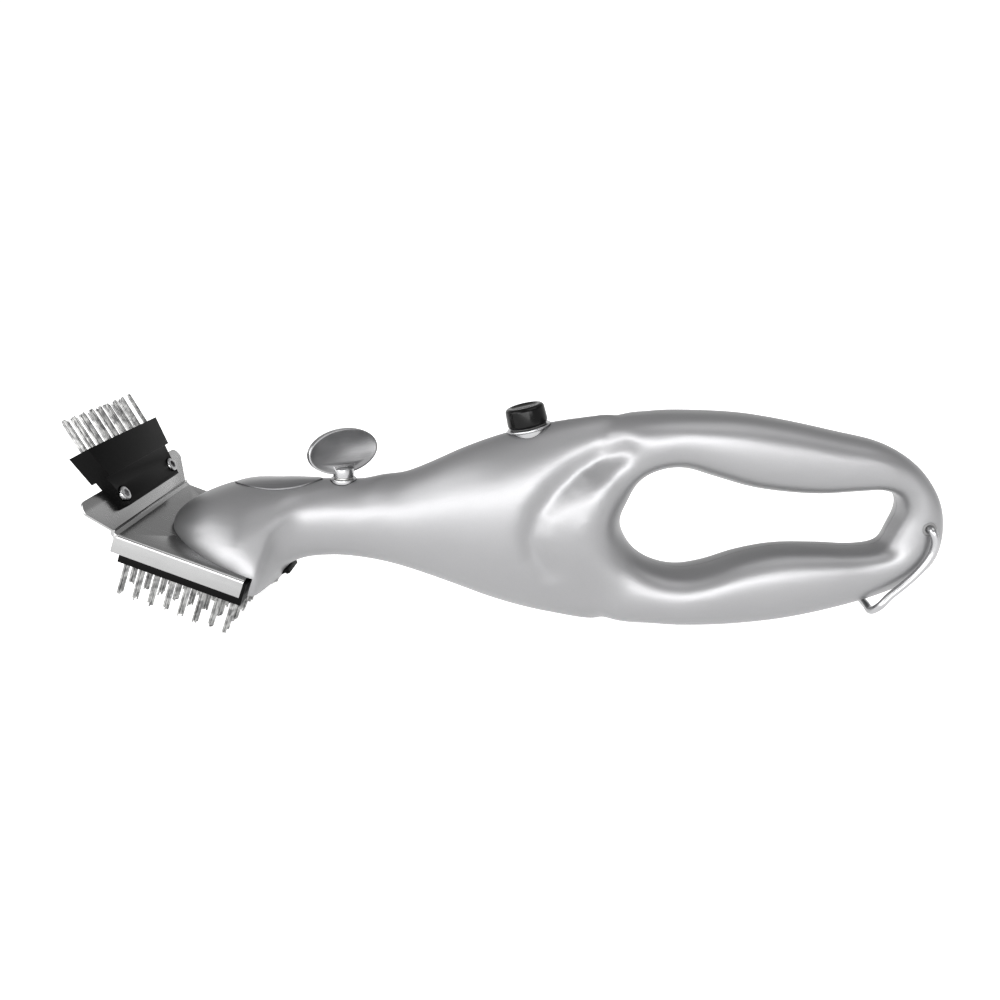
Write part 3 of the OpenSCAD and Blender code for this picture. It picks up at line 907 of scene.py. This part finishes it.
class BRUSH_OT_handle(bpy.types.Operator):
    """Build the two handle shells and the badge let into them"""

    bl_idname = "brush.handle"
    bl_label = "Handle and badge"

    def execute(self, context):
        body = smooth_body(context.scene.brush_look)
        under, over, gap = 50, 70, 0.25
        proud, badge_sunk, seat_sunk = 0.6, 0.75, 0.8
        almond_prism = almond(BADGE_LENGTH, BADGE_HALF, under, over)
        badge = cut(almond_prism, swollen(body, proud), operation="INTERSECT")
        cut(badge, swollen(body, -badge_sunk))
        seat = almond(BADGE_LENGTH + 2 * gap, BADGE_HALF + gap, under, over + 5)
        cut(seat, swollen(body, -seat_sunk))
        hollow = swollen(body, -WALL)
        cut(body, hollow, seat, *handle_openings())
        reach, seam = 300, 0.1
        for name, node, side in (("handle_near", "shell_left", -1), ("handle_far", "shell_right", 1)):
            low, high = sorted((side * seam, side * reach))
            half_space = block((-reach, low, -reach), (reach, high, reach))
            half = cut(copy_of(body), half_space, operation="INTERSECT")
            keep(half, name, "handle", "silver_paint", node, smooth=40)
        bpy.data.objects.remove(body)
        keep(badge, "badge_plate", "handle", "badge_plate", "badge", smooth=50)
        return {"FINISHED"}


class BRUSH_OT_head(bpy.types.Operator):
    """Build the folded steel plate with its wide front flange"""

    bl_idname = "brush.head"
    bl_label = "Steel head plate"

    def execute(self, context):
        bpy.ops.object.select_all(action="DESELECT")
        half = PLATE_WIDTH / 2 - SHEET / 2
        bpy.ops.mesh.primitive_plane_add(size=MM, location=(-PLATE_LENGTH / 2 * MM, 0, -SHEET / 2 * MM))
        plate = bpy.context.object
        plate.scale = (PLATE_LENGTH, 2 * half, 1)
        place(plate, Matrix())
        up = turned(90 - FLANGE_LEAN - HEAD_SLOPE, "Y") @ Vector((-1, 0, 0))
        down = (0, 0, -(SIDE_DEPTH - SHEET / 2) * MM)
        front = -PLATE_LENGTH * MM
        straight = 2
        flange_steps = (
            (straight, 1),
            (FLANGE_LENGTH - FLANGE_CORNER - straight, 1 + FLANGE_EXTRA / half),
            (FLANGE_CORNER, 1),
        )

        def is_side_edge(edge, side):
            on_side = abs(middle(edge).y - side * half * MM) < NEAR
            return on_side and span(edge).z < NEAR and middle(edge).x > front + MM

        with editing(plate, "EDGE"):
            pick(plate, "edges", lambda edge: middle(edge).x < front + NEAR)
            for rise, widen in flange_steps:
                bpy.ops.mesh.extrude_region_move(TRANSFORM_OT_translate={"value": up * rise * MM})
                bpy.ops.transform.resize(value=(1, widen, 1), center_override=(0, 0, 0))
            for side in (-1, 1):
                pick(plate, "edges", lambda edge: is_side_edge(edge, side))
                bpy.ops.mesh.extrude_region_move(TRANSFORM_OT_translate={"value": down})
        soften_folds(plate, front, half)
        apply_modifier(plate, "SOLIDIFY", thickness=SHEET * MM, offset=0, use_even_offset=True)
        screw_hole, nozzle_hole = 1.7, 4.1
        holes = [drum(screw_hole, -3, 3, spot, 32) for spot in head_screw_places()]
        holes.append(drum(nozzle_hole, -3, 3, (-NOZZLE_BACK, 0), 48))
        cut(plate, *holes)
        soften(plate, 0.18, 2, 50)
        place(plate, ON_HEAD)
        keep(plate, "head_sheet", "handle", "head_steel", "head_plate", smooth=40)
        return {"FINISHED"}


def soften_folds(plate, front, half):
    """Bends the folds round and rounds the front flange's corners."""
    front_fold, side_fold = 1.6, 1.1

    def in_plate(edge):
        return abs(middle(edge).z + SHEET / 2 * MM) < NEAR / 2

    def is_front_fold(edge):
        return abs(middle(edge).x - front) < NEAR and span(edge).y > MM and in_plate(edge)

    def is_side_fold(edge):
        return abs(abs(middle(edge).y) - half * MM) < NEAR and span(edge).x > MM and in_plate(edge)

    with editing(plate, "EDGE"):
        pick(plate, "edges", is_front_fold)
        bpy.ops.mesh.bevel(offset=front_fold * MM, segments=4, affect="EDGES")
        pick(plate, "edges", is_side_fold)
        bpy.ops.mesh.bevel(offset=side_fold * MM, segments=4, affect="EDGES")
    with editing(plate, "VERT"):
        top = max(vertex.co.z for vertex in plate.data.vertices)
        pick(plate, "verts", lambda vertex: vertex.co.z > top - NEAR)
        bpy.ops.mesh.bevel(offset=FLANGE_CORNER * MM * 0.95, segments=6, affect="VERTICES")


def head_screw_places():
    """Where the four screws go up through the plate."""
    return [(x, side * y) for x, y in ((-8, 26), (-32, 17)) for side in (-1, 1)]


class BRUSH_OT_bristles(bpy.types.Operator):
    """Build the wire tufts of both brushes"""

    bl_idname = "brush.bristles"
    bl_label = "Bristles"

    def execute(self, context):
        look = context.scene.brush_look
        pitch = (PLATE_WIDTH - 2 * TUFT_EDGE) / (TUFT_COLUMNS - 1)
        rows = []
        for i in range(TUFT_ROWS):
            for j in range(TUFT_COLUMNS):
                x = -ROW_START - i * ROW_PITCH
                y = -PLATE_WIDTH / 2 + TUFT_EDGE + j * pitch
                length = TIP_DEPTH - BLOCK_DEPTH
                rows.append(((x, y, -BLOCK_DEPTH), (0, 0, -1), length, TUFT_RADIUS * MAIN_FILL))
        main = place(bundle(rows, look, MAIN_LEAN), ON_HEAD)
        keep(main, "main_wire_tufts", "brush", "bristle_wire", "main_bristles", smooth=50)
        rows = []
        for count, depth in ((FRONT_TUFTS, 3.8), (FRONT_TUFTS - 1, 0.2)):
            for k in range(count):
                root = (-HOLDER_TOP, (k - (count - 1) / 2) * FRONT_PITCH, depth)
                rows.append((root, (-1, 0, 0), FRONT_LENGTH, TUFT_RADIUS * FRONT_FILL))
        front = place(bundle(rows, look, FRONT_LEAN), ON_FRONT)
        keep(front, "front_wire_tufts", "handle", "bristle_wire", "front_bristles", smooth=50)
        return {"FINISHED"}


class BRUSH_OT_valve(bpy.types.Operator):
    """Build the oval valve paddle on its hub"""

    bl_idname = "brush.valve"
    bl_label = "Valve paddle"

    def execute(self, context):
        thick, rim, rim_slope, dish = 2.2, 0.9, 0.4, 0.25
        paddle = drum(1, -thick / 2, thick / 2, sides=72)
        with editing(paddle, "FACE"):
            pick(paddle, "faces", lambda face: True)
            bpy.ops.transform.resize(
                value=(PADDLE_LENGTH / 2, PADDLE_HEIGHT / 2, 1), center_override=(0, 0, 0)
            )
            for side in (-1, 1):
                pick(paddle, "faces", lambda face: face.normal.z * side > 0.9)
                bpy.ops.mesh.inset(thickness=rim * MM)
                bpy.ops.mesh.inset(thickness=rim_slope * MM)
                bpy.ops.transform.translate(value=(0, 0, -side * dish * MM))
        soften(paddle, 0.3, 3)
        place(paddle, moved(0, 0, PADDLE_Z) @ turned(90, "X"))
        stalk = block((-4, -1.7, 66), (4, 1.7, 71))
        with editing(stalk, "FACE"):
            pick(stalk, "faces", lambda face: face.normal.z > 0.9)
            bpy.ops.transform.resize(value=(1.5, 0.62, 1))
        soften(stalk, 0.6, 3)
        hub_radius, hub_low, hub_top, shoulder, crown = 4.8, 65.2, 69.4, 1.2, 0.6
        hub = drum(hub_radius, hub_low, hub_top)
        with editing(hub, "FACE"):
            pick(hub, "faces", lambda face: face.normal.z > 0.9)
            bpy.ops.mesh.inset(thickness=shoulder * MM)
            bpy.ops.transform.translate(value=(0, 0, crown * MM))
        soften(hub, 0.35, 3)
        cut(paddle, stalk, hub, operation="UNION")
        stem_hole = drum(2.8, 60, 67.2)
        spigot_hole = drum(2, 60, 70)
        cut(paddle, stem_hole, spigot_hole)
        place(paddle, ON_VALVE)
        keep(paddle, "valve_paddle", "valve", "bright_metal", "valve_knob", smooth=40)
        softened_node("valve_gland", 0.4, 3)
        return {"FINISHED"}


class BRUSH_OT_cap(bpy.types.Operator):
    """Build the black fill cap and the bright neck under it"""

    bl_idname = "brush.cap"
    bl_label = "Fill cap"

    def execute(self, context):
        base, taper, round_edge = 0.9, 0.95, 1.7
        rim, rim_slope, dish = 0.8, 0.7, 0.5
        plug_depth, play = 5, 0.08
        cap = drum(CAP_RADIUS, base, base + CAP_HEIGHT, sides=96)
        with editing(cap, "FACE"):
            pick(cap, "faces", lambda face: face.normal.z > 0.9)
            bpy.ops.transform.resize(value=(taper, taper, 1))
        soften(cap, round_edge, 5)
        with editing(cap, "FACE"):
            pick(cap, "faces", lambda face: face.normal.z > 0.95 and face.calc_area() > 1e-5)
            bpy.ops.mesh.inset(thickness=rim * MM)
            bpy.ops.mesh.inset(thickness=rim_slope * MM)
            bpy.ops.transform.translate(value=(0, 0, -dish * MM))
        plug = drum(FILL_BORE - play, -plug_depth, base + 1)
        soften(plug, 0.4)
        cut(cap, plug, operation="UNION")
        place(cap, ON_FILL)
        keep(cap, "screw_cap", "cap", "cap_black", "fill_cap", smooth=40)
        softened_node("fill_neck", 0.45, 3)
        return {"FINISHED"}


class BRUSH_OT_ring(bpy.types.Operator):
    """Bend the hanging ring's wire"""

    bl_idname = "brush.ring"
    bl_label = "Hanging ring"

    def execute(self, context):
        in_bush = [(RING_X, y, RING_Z) for y in (7, 11, LEG_SIDE - 0.6)]
        leg = [(x, LEG_SIDE, z) for x, z in LEG]
        half_bar = [(BAR[0], y, BAR[1]) for y in (LEG_SIDE - 4, 5)]
        near = in_bush + leg + half_bar
        route = near + [(x, -y, z) for x, y, z in reversed(near)]
        line = bpy.data.curves.new("ring_wire", "CURVE")
        line.dimensions = "3D"
        line.bevel_depth = WIRE_RADIUS * MM
        line.bevel_resolution = 4
        line.use_fill_caps = True
        spline = line.splines.new("POLY")
        smooth = round_route(route, 5)
        spline.points.add(len(smooth) - 1)
        for point, spot in zip(spline.points, smooth):
            point.co = (*(spot * MM), 1)
        ring = bpy.data.objects.new("ring_wire", line)
        context.scene.collection.objects.link(ring)
        alone(ring)
        bpy.ops.object.convert(target="MESH")
        ring = context.object
        with editing(ring):
            bpy.ops.mesh.select_all(action="SELECT")
            bpy.ops.mesh.remove_doubles(threshold=SAME_POINT)
            bpy.ops.mesh.normals_make_consistent(inside=False)
        keep(ring, "hanging_ring", "ring", "bright_metal", "hang_ring", smooth=60)
        softened_node("ring_bushes", 0.25)
        return {"FINISHED"}


def round_route(points, steps):
    """A smooth line through the given points."""
    spots = [Vector(point) for point in points]
    result = []
    for i in range(len(spots) - 1):
        near = [spots[max(0, min(len(spots) - 1, i + k))] for k in (-1, 0, 1, 2)]
        for step in range(steps):
            weights = curve_weights(step / steps)
            result.append(sum((w * spot for w, spot in zip(weights, near)), Vector((0, 0, 0))))
    result.append(spots[-1])
    return result


class BRUSH_OT_screws(bpy.types.Operator):
    """Build the two bright screws of the front holder"""

    bl_idname = "brush.screws"
    bl_label = "Holder screws"

    def execute(self, context):
        screws = []
        low, top = HOLDER_THICK - 1.2, HOLDER_THICK + 1
        head_radius, socket_radius, socket_depth, shank_radius, nut_side = 3.3, 1.9, 1.3, 1.5, 3
        for side in (-1, 1):
            at = (-SCREW_HEIGHT, side * SCREW_SIDE)
            head = drum(head_radius, low, top, at, 48)
            soften(head, 0.8, 4)
            socket = drum(socket_radius, top - socket_depth, top + 1, at, 6)
            cut(head, socket)
            shank = drum(shank_radius, -SHEET - nut_side, low + 0.5, at, 24)
            screws.append(cut(head, shank, operation="UNION"))
        piece = place(join(screws), ON_FRONT)
        keep(piece, "holder_screws", "handle", "bright_metal", "front_screws", smooth=40)
        return {"FINISHED"}


# frame nodes that keep their own shape, because hardly anything of them shows
HIDDEN_NODES = (
    "knob_rivet",
    "valve_stem",
    "stem_seal",
    "valve_body",
    "outlet_tube",
    "outlet_nozzle",
    "cap_seal",
    "head_gasket",
)


class BRUSH_OT_mouldings(bpy.types.Operator):
    """Round the edges of the moulded and turned pieces, and finish the hidden ones"""

    bl_idname = "brush.mouldings"
    bl_label = "Mouldings and small parts"

    def execute(self, context):
        widths = {
            "brush_block": 0.5,
            "release_tab": 0.45,
            "tab_guide": 0.35,
            "tab_screws": 0.25,
            "front_nuts": 0.25,
            "head_screws": 0.4,
            "nozzle_nut": 0.25,
        }
        for node, width in widths.items():
            softened_node(node, width, 3 if width > 0.3 else 2)
        # the front holder's shallow ribs are planed off before its edges are rounded
        reach, above = 60, 20
        ribs = place(block((-reach, -reach, HOLDER_FACE), (0, reach, above)), ON_FRONT)
        softened_node("front_holder", 0.7, 3, trim=ribs)
        for node in HIDDEN_NODES:
            source = frame["nodes"][node]
            source.data.materials.clear()
            source.data.materials.append(finish_for(slot_of(node)))
        return {"FINISHED"}


class BRUSH_OT_stage(bpy.types.Operator):
    """Set the camera, the soft lights and the pale floor"""

    bl_idname = "brush.stage"
    bl_label = "Stage"

    def execute(self, context):
        scene = context.scene
        camera = bpy.data.cameras.new("camera")
        camera.lens = 31.68
        camera.sensor_width = 36
        stand = (9.38, -386.01, 175.21)
        heading, pitch, roll = 2.283, 17.01, 1.774
        view = bpy.data.objects.new("camera", camera)
        view.matrix_world = (
            moved(*stand) @ turned(heading, "Z") @ turned(90 - pitch, "X") @ turned(roll, "Z")
        )
        scene.collection.objects.link(view)
        scene.camera = view
        # name, place, width, height, watts and the point it faces, in metres
        lights = (
            ("front_low", (-0.2, -1.1, 0.2), 1.4, 0.34, 12, (0, 0, 0.05)),
            ("front_right", (0.42, -1.05, 0.38), 0.7, 0.25, 3.6, (0.1, 0, 0.05)),
            ("tail_top", (0.3, -0.2, 0.9), 0.7, 0.6, 2.2, (0.12, 0, 0.08)),
            ("left_wide", (-0.95, -0.5, 0.5), 1.1, 0.8, 10, (-0.05, 0, 0.05)),
        )
        for name, spot, width, height, power, aim in lights:
            lamp = bpy.data.lights.new(name, "AREA")
            lamp.shape = "RECTANGLE"
            lamp.size, lamp.size_y, lamp.energy = width, height, power
            holder = bpy.data.objects.new(name, lamp)
            facing = (Vector(aim) - Vector(spot)).to_track_quat("-Z", "Y")
            holder.matrix_world = Matrix.Translation(spot) @ facing.to_matrix().to_4x4()
            scene.collection.objects.link(holder)
        bpy.ops.object.select_all(action="DESELECT")
        floor_size, floor_drop = 40, 0.0002
        bpy.ops.mesh.primitive_plane_add(size=floor_size, location=(0, 0, -floor_drop))
        floor = context.object
        floor.name = "floor"
        place(floor, Matrix())
        floor.data.materials.append(finish_for("floor"))
        sky(scene)
        return {"FINISHED"}


def sky(scene):
    """White around the horizon, falling to grey overhead."""
    world = bpy.data.worlds.new("studio")
    world.use_nodes = True
    scene.world = world
    tree = world.node_tree
    place_node = tree.nodes.new("ShaderNodeTexCoord")
    split = tree.nodes.new("ShaderNodeSeparateXYZ")
    ramp = tree.nodes.new("ShaderNodeValToRGB")
    for element, (height, shade) in zip(ramp.color_ramp.elements, ((0.27, 1), (0.44, 0.48))):
        element.position = height
        element.color = (shade, shade, shade, 1)
    tree.links.new(place_node.outputs["Generated"], split.inputs[0])
    tree.links.new(split.outputs["Z"], ramp.inputs["Fac"])
    tree.links.new(ramp.outputs["Color"], tree.nodes["Background"].inputs["Color"])
    tree.nodes["Background"].inputs["Strength"].default_value = 1.05
    scene.view_settings.view_transform = "Standard"


BUILD_ORDER = (
    "stage", "handle", "head", "bristles", "valve", "cap", "ring", "screws", "mouldings",
)


class BRUSH_PT_panel(bpy.types.Panel):
    """The sidebar panel with the settings and the building steps in their order"""

    bl_label = "Grill Brush"
    bl_space_type = "VIEW_3D"
    bl_region_type = "UI"
    bl_category = "Grill Brush"

    def draw(self, context):
        look = context.scene.brush_look
        for name in look.bl_rna.properties.keys():
            if name not in ("name", "rna_type"):
                self.layout.prop(look, name)
        for step in BUILD_ORDER:
            self.layout.operator("brush." + step)


CLASSES = (
    BrushLook,
    BRUSH_OT_handle,
    BRUSH_OT_head,
    BRUSH_OT_bristles,
    BRUSH_OT_valve,
    BRUSH_OT_cap,
    BRUSH_OT_ring,
    BRUSH_OT_screws,
    BRUSH_OT_mouldings,
    BRUSH_OT_stage,
    BRUSH_PT_panel,
)


def register():
    for cls in CLASSES:
        bpy.utils.register_class(cls)
    bpy.types.Scene.brush_look = PointerProperty(type=BrushLook)


def unregister():
    del bpy.types.Scene.brush_look
    for cls in reversed(CLASSES):
        bpy.utils.unregister_class(cls)


def main():
    register()
    for step in BUILD_ORDER:
        getattr(bpy.ops.brush, step)()
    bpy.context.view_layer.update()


if __name__ == "__main__":
    main()
